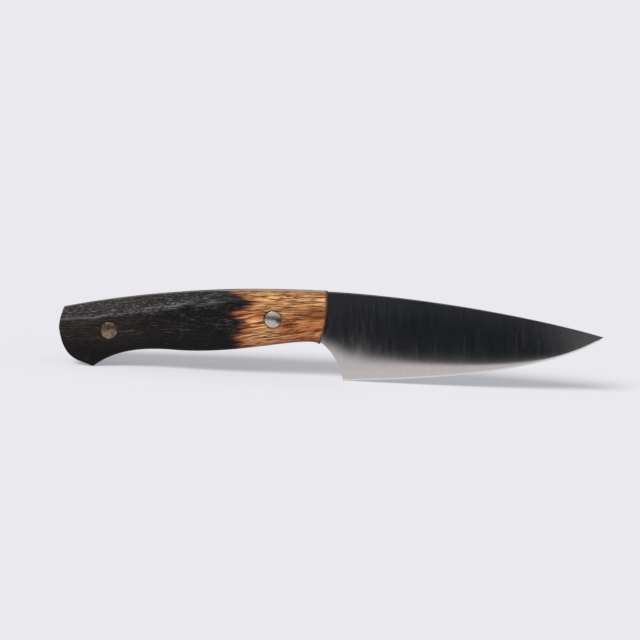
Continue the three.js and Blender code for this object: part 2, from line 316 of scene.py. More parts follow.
def blade_skin():
    """The tang's patch and the blade's patch side by side. The blade's lower outline is the choil and then
    the edge. Rows run down from the spine, whose corner is a quarter round, and the last cross the bevel."""
    choil_share = np.linspace(0, 1, CHOIL_COLUMNS + 1)
    edge_share = np.linspace(0, 1, EDGE_COLUMNS + 1)[1:]
    lower = np.vstack([along(choil, choil_share), along(edge, edge_share)])
    heel_share = SCALES_TO_HEEL / (SCALES_TO_HEEL + BLADE_LENGTH)
    upper = along(spine, np.append(heel_share * choil_share, blend(heel_share, 1, edge_share)))
    tang_share = np.linspace(0, 1, TANG_COLUMNS + 1)
    tang_heights = np.linalg.norm(along(handle_top, tang_share) - along(underside, tang_share), axis=1)
    heights = np.append(tang_heights, np.linalg.norm(upper - lower, axis=1)[1:])[:, None]

    turn = np.linspace(0, np.pi / 2, CORNER_STEPS)
    corner_drop = SPINE_ROUND * (1 - np.cos(turn))
    corner_tuck = SPINE_ROUND * (1 - np.sin(turn))
    room = np.maximum(heights, WELD)
    corner = np.minimum(corner_drop / room, SPINE_ROUND_SHARE)
    bevel = np.minimum(BEVEL_HEIGHT / room, BEVEL_SHARE)
    hold = np.minimum((SPINE_ROUND + SPINE_HOLD) / room, SPINE_HOLD_SHARE)
    side = np.hstack([hold, blend(hold, 1 - bevel, np.linspace(0, 1, BLADE_ROWS + 1)[1:])])
    bevel_rows = blend(1 - bevel, 1, np.linspace(0, 1, BEVEL_ROWS + 1)[1:])
    down = np.hstack([corner, side, bevel_rows])
    tang = handle_patch(tang_share, down[:TANG_COLUMNS + 1])
    at_tip = np.vstack([tip, tip])
    across = np.linspace(0, 1, len(upper))
    blade = patch(upper, lower, scales_front, at_tip, across, down[TANG_COLUMNS:])
    points, blocks = drill(np.vstack([tang, blade[1:]]))
    half = np.full(points.shape[:2], film_inside)
    half[TANG_COLUMNS + 1:] = blade_half(blade)[1:]
    tuck = np.zeros(points.shape[:2])
    tuck[TANG_COLUMNS + 1:, :CORNER_STEPS] = corner_tuck
    half = np.maximum(half - np.minimum(tuck, half / 2), 0)
    on_blade = points[..., 0] > heel[0]
    on_bevel = np.arange(down.shape[1]) > down.shape[1] - BEVEL_ROWS - 1
    return skin(points, -half, half, blocks), {BEVEL_MARK: (on_blade & on_bevel).astype(float)}


def add_node(tree, kind, inputs=(), **options):
    """One shader node: its options are set by name, and each input takes a value or a link."""
    node = tree.nodes.new("ShaderNode" + kind)
    for name, value in options.items():
        setattr(node, name, value)
    for name, value in dict(inputs).items():
        if isinstance(value, bpy.types.NodeSocket):
            tree.links.new(value, node.inputs[name])
        else:
            node.inputs[name].default_value = value
    return node


def calculate(tree, operation, *values):
    """A sum, difference or other operation on values."""
    return add_node(tree, "Math", enumerate(values), operation=operation).outputs[0]


def rescale(tree, value, low, high, first=0.0, last=1.0):
    """A value eased from first to last as it goes from low to high."""
    inputs = {"Value": value, "From Min": low, "From Max": high, "To Min": first, "To Max": last}
    return add_node(tree, "MapRange", inputs, interpolation_type="SMOOTHSTEP").outputs[0]


def tint(tree, share, first, second):
    """A blend of two colours."""
    return add_node(tree, "Mix", {0: share, 6: first, 7: second}, data_type="RGBA").outputs[2]


def colour(red, green, blue):
    """A colour given as display values from 0 to 255, made linear by the sRGB formula."""
    display = np.array([red, green, blue]) / 255
    linear = np.where(display <= 0.04045, display / 12.92, ((display + 0.055) / 1.055) ** 2.4)
    return (*linear, 1.0)


def new_pattern(name, inputs, outputs):
    """An empty shader node group with these named sockets. Returns the group and its end nodes."""
    group = bpy.data.node_groups.new(name, "ShaderNodeTree")
    for socket, kind in inputs.items():
        group.interface.new_socket(socket, in_out="INPUT", socket_type="NodeSocket" + kind)
    for socket, kind in outputs.items():
        group.interface.new_socket(socket, in_out="OUTPUT", socket_type="NodeSocket" + kind)
    return group, group.nodes.new("NodeGroupInput").outputs, group.nodes.new("NodeGroupOutput").inputs


NOISE_DETAIL = 2.0


def make_streak_pattern():
    """Soft noise drawn out into streaks along X: places are divided by the streaks' length and width, which
    are in millimetres, and moved by the seed."""
    sockets = {"Place": "Vector", "Length": "Float", "Width": "Float", "Seed": "Float"}
    group, given, result = new_pattern("streaks", sockets, {"Value": "Float"})
    size = add_node(group, "CombineXYZ", {0: given["Length"], 1: given["Width"], 2: given["Width"]})
    shrunk = add_node(group, "VectorMath", {0: given["Place"], 1: size.outputs[0]}, operation="DIVIDE")
    shift = add_node(group, "CombineXYZ", {0: given["Seed"], 1: given["Seed"], 2: given["Seed"]})
    moved = add_node(group, "VectorMath", {0: shrunk.outputs[0], 1: shift.outputs[0]}, operation="ADD")
    noise = add_node(group, "TexNoise", {"Vector": moved.outputs[0], "Scale": 1.0, "Detail": NOISE_DETAIL})
    group.links.new(noise.outputs[0], result["Value"])
    return group


streak_pattern = make_streak_pattern()


def streaks(tree, place, length, width, seed):
    """A use of the streak pattern in a material. The seed sets one use apart from the others."""
    inputs = {"Place": place, "Length": length, "Width": width, "Seed": seed}
    return add_node(tree, "Group", inputs, node_tree=streak_pattern).outputs["Value"]


def new_material(name):
    """An empty material. Returns it with its node tree."""
    material = bpy.data.materials.new(name)
    material.use_nodes = True
    material.node_tree.nodes.clear()
    return material, material.node_tree


def object_place(tree, turn=(0, 0, 0)):
    """Object coordinates in millimetres, turned about the origin."""
    place = add_node(tree, "TexCoord").outputs["Object"]
    inputs = {"Vector": place, "Rotation": turn, "Scale": (1 / MM, 1 / MM, 1 / MM)}
    return add_node(tree, "Mapping", inputs).outputs[0]


def take_apart(tree, place):
    """The X, Y and Z of a place."""
    return tuple(add_node(tree, "SeparateXYZ", {0: place}).outputs)


def finish_surface(tree, height, bump, **sockets):
    """The shader and output of a material, with bump depth in millimetres from a height pattern."""
    inputs = {"Height": height, "Distance": bump * MM, "Strength": 1.0}
    normal = add_node(tree, "Bump", inputs).outputs[0]
    values = {name.replace("_", " "): value for name, value in sockets.items()}
    shader = add_node(tree, "BsdfPrincipled", {"Normal": normal, **values})
    add_node(tree, "OutputMaterial", {"Surface": shader.outputs[0]})
    return shader


def read_mark(tree, name):
    """A named value of the mesh's points."""
    return add_node(tree, "Attribute", attribute_name=name).outputs["Fac"]


# Streaks in the steel: length, width and seed. Most of a streak's values lie in the usual range.
FINE_SCRATCHES = (14.0, 0.1, 3.0)
BROAD_SCRATCHES = (26.0, 0.55, 7.0)
DEEP_SCRATCHES = (18.0, 0.37, 15.0)
STEEL_CLOUDS = (30.0, 12.0, 1.0)
USUAL_RANGE = (0.3, 0.7)
TONE_RANGE = (0.35, 0.65)
DEEP_RANGE = (0.46, 0.68)

DULL_STEEL = colour(200, 194, 191)
BRIGHT_STEEL = colour(205, 199, 195)
BEVEL_STEEL = colour(226, 224, 220)
BROAD_ROUGHNESS = (0.12, 0.108)
FINE_ROUGHNESS = 0.045
DEEP_ROUGHNESS = 0.03
CLOUD_ROUGHNESS = 0.02
TANG_FADE = 1.0
TANG_DULLS = (-48.0, -36.0)
TANG_ROUGHNESS = (0.11, 0.26)
DEEP_SCATTER = 0.012
SCRATCH_DEPTH = 0.0005
SCRATCH_SPREAD = 0.75
SCRATCH_LEAN = np.radians(4)
SCRATCH_MAP = "scratch_direction"
SIDE_FACING = (0.6, 0.8)
SIDE_SLOPE = np.cos(np.radians(45))


def make_blade_steel():
    """Satin steel. Scratches run down the sides, and along the spine and the tang's edges, and reflections
    spread across them. All of them and slow clouds vary the roughness, and broad ones the shade. Deep ones
    also scatter light, as if less metallic. The bevel is brighter, and the tang is duller, most in front."""
    material, tree = new_material("satin_steel")
    _, sideways, _ = take_apart(tree, add_node(tree, "NewGeometry").outputs["Normal"])
    on_side = rescale(tree, calculate(tree, "ABSOLUTE", sideways), *SIDE_FACING)
    forward = object_place(tree)
    down = object_place(tree, (0, np.pi / 2 + SCRATCH_LEAN, 0))
    place = add_node(tree, "Mix", {0: on_side, 4: forward, 5: down}, data_type="VECTOR").outputs[1]
    fine = streaks(tree, place, *FINE_SCRATCHES)
    broad = streaks(tree, place, *BROAD_SCRATCHES)
    deep = rescale(tree, streaks(tree, place, *DEEP_SCRATCHES), *DEEP_RANGE)
    cloud = streaks(tree, place, *STEEL_CLOUDS)
    shade = tint(tree, rescale(tree, broad, *TONE_RANGE), DULL_STEEL, BRIGHT_STEEL)
    shade = tint(tree, read_mark(tree, BEVEL_MARK), shade, BEVEL_STEEL)
    rough = rescale(tree, broad, *USUAL_RANGE, *BROAD_ROUGHNESS)
    rough = calculate(tree, "ADD", rough, rescale(tree, fine, *USUAL_RANGE, 0.0, FINE_ROUGHNESS))
    rough = calculate(tree, "MULTIPLY_ADD", deep, DEEP_ROUGHNESS, rough)
    rough = calculate(tree, "ADD", rough, rescale(tree, cloud, *USUAL_RANGE, 0.0, CLOUD_ROUGHNESS))
    x, _, _ = take_apart(tree, forward)
    on_tang = rescale(tree, x, scales_top[0], scales_top[0] - TANG_FADE)
    rough = calculate(tree, "MULTIPLY_ADD", on_tang, rescale(tree, x, *TANG_DULLS, *TANG_ROUGHNESS), rough)
    metal = calculate(tree, "MULTIPLY_ADD", deep, -DEEP_SCATTER, 1.0)
    looks = {"Base_Color": shade, "Metallic": metal, "Roughness": rough, "Anisotropic": SCRATCH_SPREAD}
    shader = finish_surface(tree, fine, SCRATCH_DEPTH, **looks)
    tangent = add_node(tree, "Tangent", direction_type="UV_MAP", uv_map=SCRATCH_MAP)
    tree.links.new(tangent.outputs[0], shader.inputs["Tangent"])
    return material


def map_scratches(piece):
    """A UV map in metres whose V runs along the scratches and U across them: X and Z on the sides, and Y and
    the sum of X and Z on faces that look up, down or back."""
    mesh = piece.data
    places = np.empty(len(mesh.vertices) * 3, np.float32)
    mesh.vertices.foreach_get("co", places)
    corners = np.empty(len(mesh.loops), np.int32)
    mesh.loops.foreach_get("vertex_index", corners)
    normals = np.empty(len(mesh.polygons) * 3, np.float32)
    mesh.polygons.foreach_get("normal", normals)
    counts = np.empty(len(mesh.polygons), np.int32)
    mesh.polygons.foreach_get("loop_total", counts)
    on_side = np.repeat(np.abs(normals[1::3]) > SIDE_SLOPE, counts)[:, None]
    x, y, z = places.reshape(-1, 3)[corners].T
    flat = np.where(on_side, np.stack([x, z], axis=-1), np.stack([y, x + z], axis=-1))
    mesh.uv_layers.new(name=SCRATCH_MAP).data.foreach_set("uv", flat.astype(np.float32).ravel())


shape, marks = blade_skin()
blade = add_piece("blade", shape, make_blade_steel(), "blade_with_tang", marks)
map_scratches(blade)

# Bond films
# The epoxy that beds each scale on the tang, squeezed out to a thin dark line round the handle.
# It fills the whole joint, so it has the handle's outline and the pin holes.

FILM_COLUMNS = 140
FILM_ROWS = 44
RESIN_CLOUDS = (6.0, 1.5, 11.0)
DARK_RESIN = colour(30, 24, 20)
LIGHT_RESIN = colour(52, 40, 31)
RESIN_ROUGHNESS = (0.3, 0.5)
RESIN_RIPPLE = 0.02


def film_skin(near, far):
    """The handle's patch as a thin layer between two depths."""
    across = np.linspace(0, 1, FILM_COLUMNS + 1)
    down = np.tile(np.linspace(0, 1, FILM_ROWS + 1), (FILM_COLUMNS + 1, 1))
    points, blocks = drill(handle_patch(across, down))
    return skin(points, near, far, blocks)


def make_resin():
    """Dark resin, slightly cloudy: the clouds vary its shade, its roughness and its height."""
    material, tree = new_material("dark_resin")
    cloud = streaks(tree, object_place(tree), *RESIN_CLOUDS)
    shade = tint(tree, rescale(tree, cloud, *USUAL_RANGE), DARK_RESIN, LIGHT_RESIN)
    rough = rescale(tree, cloud, *USUAL_RANGE, *RESIN_ROUGHNESS)
    finish_surface(tree, cloud, RESIN_RIPPLE, Base_Color=shade, Roughness=rough)
    return material


resin = make_resin()
add_piece("resin_right", film_skin(-scale_inside, -film_inside), resin, "bond_film_right")
add_piece("resin_left", film_skin(film_inside, scale_inside), resin, "bond_film_left")

# Handle scales
# Two slabs of open-pored oak, glued and pinned to the tang and shaped together with it. A flat facet along
# the back rounds over towards the blade, and the belly is round. They are charred black from the butt to past
# the middle.

FACET_AT_BUTT = 3.3
FACET_WIDEST = 4.5
FACET_AT_FRONT = 2.3
TOP_EDGE_THICKNESS = 0.7
BELLY_ROUND = 3.6
BELLY_EDGE_THICKNESS = 4.6
FRONT_ROUND = 1.2
BUTT_ROUND = 0.6
RIM_DROP = 0.22
RIM_REACH = 0.3

# Stretches of the handle, as shares from the butt, over which the facet and the painted sheen
# on its ridge change.
FACET_WIDENS = (0, 0.16)
FACET_NARROWS = (0.12, 0.65)
FACET_ROUNDS = (0.08, 0.75)
FACET_BLURS = (0.1, 0.6)
SHEEN_WIDENS = (0.12, 0.4)
SHEEN_FADES = (0.52, 0.68)

FACET_BLUR = 2.0
FACET_BLUR_BELOW = 0.2
RIDGE_WIDTH = 0.28
SHEEN_WIDTH = 0.9
SHEEN_DROP = 0.3
BUTT_SHEEN = 0.8
FRONT_FACE_EDGE = 0.3

SCALE_COLUMNS = 290
FACET_ROWS = 16
SIDE_ROWS = 48
BELLY_ROWS = 14
END_STEPS = 5
FACET_MARK = "upper_facet"
# The ridge mark places a pale painted highlight along the facet's ridge.
RIDGE_HIGHLIGHT_MARK = "painted_ridge_highlight"
# The rim mark places painted shade round the pin holes.
RIM_MARK = "pin_rim"
# The front mark places darker end grain with painted shade at the scales' front end.
FRONT_MARK = "front_end"


def quarter_round(share):
    """The height of a quarter circle, from 0 at share 0 to 1 at share 1."""
    return np.sqrt(np.clip(1 - (1 - share) ** 2, 0, 1))


def scale_skin(side):
    """The handle's patch with a flat inner face and a shaped outer face. The thickness is the least of the
    facet, which turns from flat at the butt to a quarter round at the front, and the belly's quarter round.
    It is rounded at both ends, and sinks at the rims of the pin holes as an exponential. The marks are a
    smooth step below the facet, one at the front end for darker end grain and painted shade, a bell curve
    over the facet's ridge for its painted highlight, and that exponential for painted shade at the rims."""
    end_share = (1 - np.cos(np.linspace(0, np.pi / 2, END_STEPS + 1))) / HANDLE_LENGTH
    rear_end = BUTT_ROUND * end_share
    front_end = 1 - FRONT_ROUND * end_share[::-1]
    between = np.linspace(rear_end[-1], front_end[0], SCALE_COLUMNS)[1:-1]
    across = np.concatenate([rear_end, between, front_end])
    column = across[:, None]
    heights = np.linalg.norm(along(handle_top, across) - along(underside, across), axis=1)[:, None]
    facet_drop = blend(FACET_AT_BUTT, FACET_WIDEST, ease(column, *FACET_WIDENS))
    facet_drop = blend(facet_drop, FACET_AT_FRONT, ease(column, *FACET_NARROWS))
    facet = facet_drop / heights * np.linspace(0, 1, FACET_ROWS + 1)
    belly = 1 - BELLY_ROUND / heights * (1 - quarter_round(np.linspace(0, 1, BELLY_ROWS + 1)))
    middle = blend(facet[:, -1:], belly[:, :1], np.linspace(0, 1, SIDE_ROWS + 1)[1:-1])
    down = np.hstack([facet, middle, belly])
    points, blocks = drill(handle_patch(across, down))

    drop = np.clip(down * heights / facet_drop, 0, 1)
    lift = np.clip((1 - down) * heights / BELLY_ROUND, 0, 1)
    full = handle_half - scale_inside
    crown = blend(drop, quarter_round(drop), ease(column, *FACET_ROUNDS))
    thickness = np.minimum(
        blend(TOP_EDGE_THICKNESS, full, crown),
        blend(BELLY_EDGE_THICKNESS, full, quarter_round(lift)),
    )
    for to_end, radius in ((column, BUTT_ROUND), (1 - column, FRONT_ROUND)):
        share = np.clip(to_end * HANDLE_LENGTH / radius, 0, 1)
        thickness = np.minimum(thickness, full - radius * (1 - quarter_round(share)))
    rims = [np.maximum(np.linalg.norm(points - place, axis=-1) - hole_radius, 0) for place in pin_places]
    rim = np.exp(-np.minimum(*rims) / RIM_REACH)
    thickness = thickness - RIM_DROP * rim

    below = down * heights - facet_drop
    blur_above = FACET_BLUR * ease(column, *FACET_BLURS)
    blur_below = FACET_BLUR * column + FACET_BLUR_BELOW
    spread = ease(column, *SHEEN_WIDENS)
    from_ridge = (below - SHEEN_DROP * spread) / blend(RIDGE_WIDTH, SHEEN_WIDTH, spread)
    shine = blend(BUTT_SHEEN, 1, spread) * (1 - ease(column, *SHEEN_FADES))
    front_face = 1 - ease((1 - column) * HANDLE_LENGTH, FRONT_FACE_EDGE, FRONT_ROUND)
    marks = {
        FACET_MARK: 1 - ease(below, -blur_above, blur_below),
        RIDGE_HIGHLIGHT_MARK: np.exp(-from_ridge ** 2) * shine,
        RIM_MARK: rim,
        FRONT_MARK: np.broadcast_to(front_face, down.shape),
    }
    inner, outer = scale_inside, scale_inside + thickness
    shape = skin(points, inner, outer, blocks) if side > 0 else skin(points, -outer, -inner, blocks)
    return shape, marks


# The grain, its growth rings and the scorched border. A pair has the ends of a stretch, or values at them.
GRAIN_BEND_X = -36.0
GRAIN_CLIMB = 0.12
GRAIN_STEEPENS_Z = (21.0, 31.0)
GRAIN_STEEPER = (0.1, -0.07)
GRAIN_SWAY = 0.6
RING_SLANT = 0.25
RING_HEIGHT = 8.8
RING_Z = 23.4
RINGS_RISE_X = (-21.0, -12.0)
RINGS_RISE_Z = (18.0, 28.0)
RING_RISE = (3.0, 8.0)
RING_WAVE = (-0.3, 0.9)
BORDER_X = -36.5
BORDER_RAGGED = 2.2
TONGUE_Z = 28.6
TONGUE_HEIGHT = 9.1
TONGUE_LENGTH = 3.2
SHORT_TONGUE = 0.3
TONGUES_GROW_Z = (18.5, 26.0)
TONGUES_STRETCH_Z = (30.0, 33.0)
SCORCH_REACH = 11.0
BLACK_REACH = (3.2, -2.0)

# Streaks in the wood: length, width and seed.
SWAY_STREAKS = (22.0, 5.0, 5.0)
BORDER_STREAKS = (14.0, 0.7, 6.0)
BAND_STREAKS = (30.0, 1.1, 2.0)
CLOUD_STREAKS = (12.0, 5.0, 3.0)
LINE_STREAKS = (18.0, 1.25, 8.0)
BREAK_STREAKS = (8.0, 0.8, 23.0)
HAIR_STREAKS = (16.0, 0.5, 33.0)
FIBRE_STREAKS = (6.0, 0.16, 17.0)
SPECK_STREAKS = (3.2, 0.42, 27.0)
PORE_STREAKS = (7.0, 0.36, 4.0)
CRACKLE_STREAKS = (1.2, 0.34, 9.0)
COMBED_STREAKS = (14.0, 0.5, 10.0)
GLINT_STREAKS = (6.0, 0.4, 14.0)
PAINTED_GLINT_STREAKS = (1.9, 0.3, 19.0)
SPLIT_STREAKS = (20.0, 0.45, 13.0)
FLECK_STREAKS = (3.2, 0.34, 12.0)
PALE_DASH_STREAKS = (1.8, 0.24, 31.0)
SWAY_RANGE = (0.2, 0.8)
BAND_RANGE = (0.36, 0.62)
LINE_MIDDLE = 0.5
PORE_RANGE = (0.41, 0.37)
HIGHLIGHT_RANGE = (0.44, 0.64)

# Layers of colour: the pattern's values where each starts and where it is full, its strength and its shade.
CLOUD_LAYER = (0.45, 0.66, 0.65, colour(150, 80, 38))
GOLD_LAYER = (24.0, 30.0, 0.6, colour(230, 180, 122))
RUDDY_LAYER = (31.0, 24.0, 0.5, colour(152, 80, 40))
DULL_LAYER = (19.5, 13.5, 0.6, colour(136, 96, 78))
LINE_LAYER = (0.075, 0.015, 1.0, colour(112, 54, 24))
HAIR_LAYER = (0.42, 0.37, 0.75, colour(104, 50, 24))
FIBRE_LAYER = (0.5, 0.36, 0.5, colour(122, 68, 36))
SPECK_LAYER = (0.4, 0.35, 1.0, colour(96, 46, 22))
SCORCH_LAYER = (SCORCH_REACH, 0.0, 0.45, colour(148, 76, 38))
SINGED_LAYER = (5.2, 0.5, 1.0, colour(62, 30, 33))
# Grey ash on the upper facet, which also serves as painted sheen from light above.
ASH_AND_SHEEN_LAYER = (0.45, 0.62, 0.54, colour(74, 68, 67))
# Painted glints on the upper facet.
PAINTED_GLINT_LAYER = (0.59, 0.67, 0.75, colour(136, 132, 132))
SPLIT_LAYER = (0.52, 0.66, 0.6, colour(66, 59, 56))
FLECK_LAYER = (0.6, 0.68, 0.8, colour(112, 109, 109))
PALE_DASH_LAYER = (0.6, 0.68, 0.4, colour(92, 86, 84))

# Zones that strengthen or weaken a layer: their two ends, and the strengths there if not 0 and 1.
RUDDY_ZONE = (-27.0, -14.0)
BREAK_ZONE = (0.38, 0.58, 0.1, 0.95)
SPECK_ZONE = (-30.0, -14.0, 0.35, 0.85)
ASH_AND_SHEEN_ZONE = (-106.0, -66.0, 0.5, 1.05)
FLECK_ZONE = (14.0, 24.0, 0.05, 1.0)
FLECK_CLOUDS = (0.42, 0.58, 0.1, 1.0)
PALE_DASH_ZONE = (12.0, 22.0, 0.1, 1.0)
BUTT_SIDE_X = (-60.0, -86.0)
BUTT_SIDE_Z = (7.0, 14.0)
CRACKLE_ENDS_X = (-75.0, -50.0)
BUTT_HIGHLIGHT_X = (-80.0, -90.0)

BROWN_OAK = colour(209, 137, 80)
PALE_OAK = colour(247, 200, 144)
BROWN_PORE = colour(86, 40, 18)
BURNT_PORE = colour(30, 16, 12)
BLACK_CHAR = colour(18, 16, 15)
BROWN_CHAR = colour(30, 26, 24)
# The colour of the pale painted highlight on the facet's ridge.
RIDGE_HIGHLIGHT_COLOUR = colour(122, 121, 124)
# Painted shade at the rims of the pin holes.
RIM_PAINTED_SHADE = colour(34, 20, 14)
# Darker end grain with painted shade at the front end.
END_GRAIN_AND_SHADE = colour(66, 37, 24)
DARK_STRENGTH = 0.8
PORE_STRENGTH = 0.9
PORES_CROWD = 0.07
PORES_BURN = 0.05
RIDGE_HIGHLIGHT_STRENGTH = 0.8
BUTT_HIGHLIGHT = 0.6
WOOD_ROUGHNESS = (0.5, 0.62)
FIBRE_ROUGHNESS = 0.06
FIBRE_RELIEF = 0.4
PORE_RELIEF = -0.5
CRACK_RELIEF = 1.4
WOOD_RELIEF = 0.12
WOOD_SHINE = 0.1


def product(tree, first, *others):
    """The product of values."""
    for other in others:
        first = calculate(tree, "MULTIPLY", first, other)
    return first


def mingle(tree, share, first, second):
    """A straight blend of two values."""
    return add_node(tree, "Mix", {0: share, 2: first, 3: second}).outputs[0]


def lay(tree, under, pattern, layer, *masks):
    """Lays a shade over another. Its share rises to the layer's strength while the pattern goes from the
    layer's first value to its second, and is multiplied by the masks."""
    start, full, strength, shade = layer
    share = rescale(tree, pattern, start, full, 0.0, strength)
    return tint(tree, product(tree, share, *masks), under, shade)


def follow_grain(tree, place):
    """Places along the grain, and the level at which each lies. The level is Z less a climb along the handle,
    which is steeper ahead of the bend and low down, plus a slow sway."""
    x, y, z = take_apart(tree, place)
    beyond = calculate(tree, "SUBTRACT", x, GRAIN_BEND_X)
    ahead = calculate(tree, "MAXIMUM", beyond, 0.0)
    steeper = product(tree, ahead, rescale(tree, z, *GRAIN_STEEPENS_Z, *GRAIN_STEEPER))
    climb = calculate(tree, "MULTIPLY_ADD", beyond, GRAIN_CLIMB, steeper)
    sway = rescale(tree, streaks(tree, place, *SWAY_STREAKS), *SWAY_RANGE, -GRAIN_SWAY, GRAIN_SWAY)
    level = calculate(tree, "ADD", calculate(tree, "SUBTRACT", z, climb), sway)
    return add_node(tree, "CombineXYZ", {0: x, 1: y, 2: level}).outputs[0], level


def crowd_pores(tree, place, level):
    """How closely pores crowd together: a cosine across the growth rings, which slant through the handle's
    thickness and rise past the front pin."""
    x, y, z = take_apart(tree, place)
    rise = product(tree, rescale(tree, x, *RINGS_RISE_X), rescale(tree, z, *RINGS_RISE_Z, *RING_RISE))
    ring = calculate(tree, "SUBTRACT", calculate(tree, "MULTIPLY_ADD", y, RING_SLANT, level), rise)
    ring = calculate(tree, "SUBTRACT", ring, RING_Z - RING_SLANT * handle_half)
    wave = calculate(tree, "COSINE", product(tree, ring, 2 * np.pi / RING_HEIGHT))
    return rescale(tree, wave, *RING_WAVE)


def pass_border(tree, place, grain):
    """How far ahead of the scorched border a place is. The border's tongues are a cosine up the handle, short
    below and long above, and streaks along the grain make it ragged."""
    x, y, z = take_apart(tree, place)
    up = calculate(tree, "MULTIPLY_ADD", y, RING_SLANT, z)
    up = calculate(tree, "SUBTRACT", up, TONGUE_Z - RING_SLANT * handle_half)
    wave = calculate(tree, "COSINE", product(tree, up, 2 * np.pi / TONGUE_HEIGHT))
    reach = rescale(tree, z, *TONGUES_GROW_Z, SHORT_TONGUE, 1.0)
    reach = calculate(tree, "ADD", reach, rescale(tree, z, *TONGUES_STRETCH_Z))
    border = calculate(tree, "MULTIPLY_ADD", product(tree, wave, reach), TONGUE_LENGTH, BORDER_X)
    ragged = streaks(tree, grain, *BORDER_STREAKS)
    ragged = rescale(tree, ragged, *USUAL_RANGE, -BORDER_RAGGED, BORDER_RAGGED)
    return calculate(tree, "ADD", calculate(tree, "SUBTRACT", x, border), ragged)


def turn_from_crackle(tree, place, grain, size_ahead):
    """A crackle at the butt that turns into streaks of another size ahead of it."""
    x, _, _ = take_apart(tree, place)
    crackle = streaks(tree, grain, *CRACKLE_STREAKS)
    return mingle(tree, rescale(tree, x, *CRACKLE_ENDS_X), crackle, streaks(tree, grain, *size_ahead))


def paint_oak(tree, place, grain, level):
    """Bare oak: pale and brown bands with darker clouds, golden above, ruddy in front and dull below. Thin
    lines lie where a pattern crosses its middle, broken here and there, among hairs, fibres and specks."""
    x, _, z = take_apart(tree, place)
    bands = rescale(tree, streaks(tree, grain, *BAND_STREAKS), *BAND_RANGE)
    oak = tint(tree, bands, BROWN_OAK, PALE_OAK)
    oak = lay(tree, oak, streaks(tree, place, *CLOUD_STREAKS), CLOUD_LAYER)
    oak = lay(tree, oak, z, GOLD_LAYER)
    oak = lay(tree, oak, level, RUDDY_LAYER, rescale(tree, x, *RUDDY_ZONE))
    oak = lay(tree, oak, z, DULL_LAYER)
    off_middle = calculate(tree, "SUBTRACT", streaks(tree, grain, *LINE_STREAKS), LINE_MIDDLE)
    breaks = rescale(tree, streaks(tree, grain, *BREAK_STREAKS), *BREAK_ZONE)
    oak = lay(tree, oak, calculate(tree, "ABSOLUTE", off_middle), LINE_LAYER, breaks)
    oak = lay(tree, oak, streaks(tree, grain, *HAIR_STREAKS), HAIR_LAYER)
    oak = lay(tree, oak, streaks(tree, grain, *FIBRE_STREAKS), FIBRE_LAYER)
    return lay(tree, oak, streaks(tree, grain, *SPECK_STREAKS), SPECK_LAYER, rescale(tree, x, *SPECK_ZONE))


def paint_char(tree, place, grain, level, texture):
    """Char: black, and browner on the butt's sides, where splits show. The upper facet has ash that doubles
    as painted sheen, and painted glints, and the ridge below it has a pale painted highlight. Flecks and pale
    dashes lie more thickly higher up."""
    x, _, z = take_apart(tree, place)
    facet = read_mark(tree, FACET_MARK)
    butt_side = product(tree, rescale(tree, x, *BUTT_SIDE_X), rescale(tree, z, *BUTT_SIDE_Z))
    char = tint(tree, butt_side, BLACK_CHAR, BROWN_CHAR)
    # Grey ash on the upper facet, also standing in as painted sheen from light above, stronger towards the
    # front.
    char = lay(tree, char, texture, ASH_AND_SHEEN_LAYER, facet, rescale(tree, x, *ASH_AND_SHEEN_ZONE))
    glint = turn_from_crackle(tree, place, grain, GLINT_STREAKS)
    highlight = rescale(tree, glint, *HIGHLIGHT_RANGE, 0.0, RIDGE_HIGHLIGHT_STRENGTH)
    highlight = mingle(tree, rescale(tree, x, *BUTT_HIGHLIGHT_X), highlight, BUTT_HIGHLIGHT)
    # A pale painted highlight along the facet's ridge, broken up by glint streaks and steadier at the butt.
    char = tint(tree, product(tree, read_mark(tree, RIDGE_HIGHLIGHT_MARK), highlight), char, RIDGE_HIGHLIGHT_COLOUR)
    # Painted glints: pale specks on the upper facet.
    char = lay(tree, char, streaks(tree, grain, *PAINTED_GLINT_STREAKS), PAINTED_GLINT_LAYER, facet)
    char = lay(tree, char, streaks(tree, grain, *SPLIT_STREAKS), SPLIT_LAYER, butt_side)
    higher = rescale(tree, level, *FLECK_ZONE)
    clouds = rescale(tree, streaks(tree, place, *CLOUD_STREAKS), *FLECK_CLOUDS)
    char = lay(tree, char, streaks(tree, grain, *FLECK_STREAKS), FLECK_LAYER, higher, clouds)
    pale_dashes = streaks(tree, grain, *PALE_DASH_STREAKS)
    return lay(tree, char, pale_dashes, PALE_DASH_LAYER, rescale(tree, level, *PALE_DASH_ZONE))


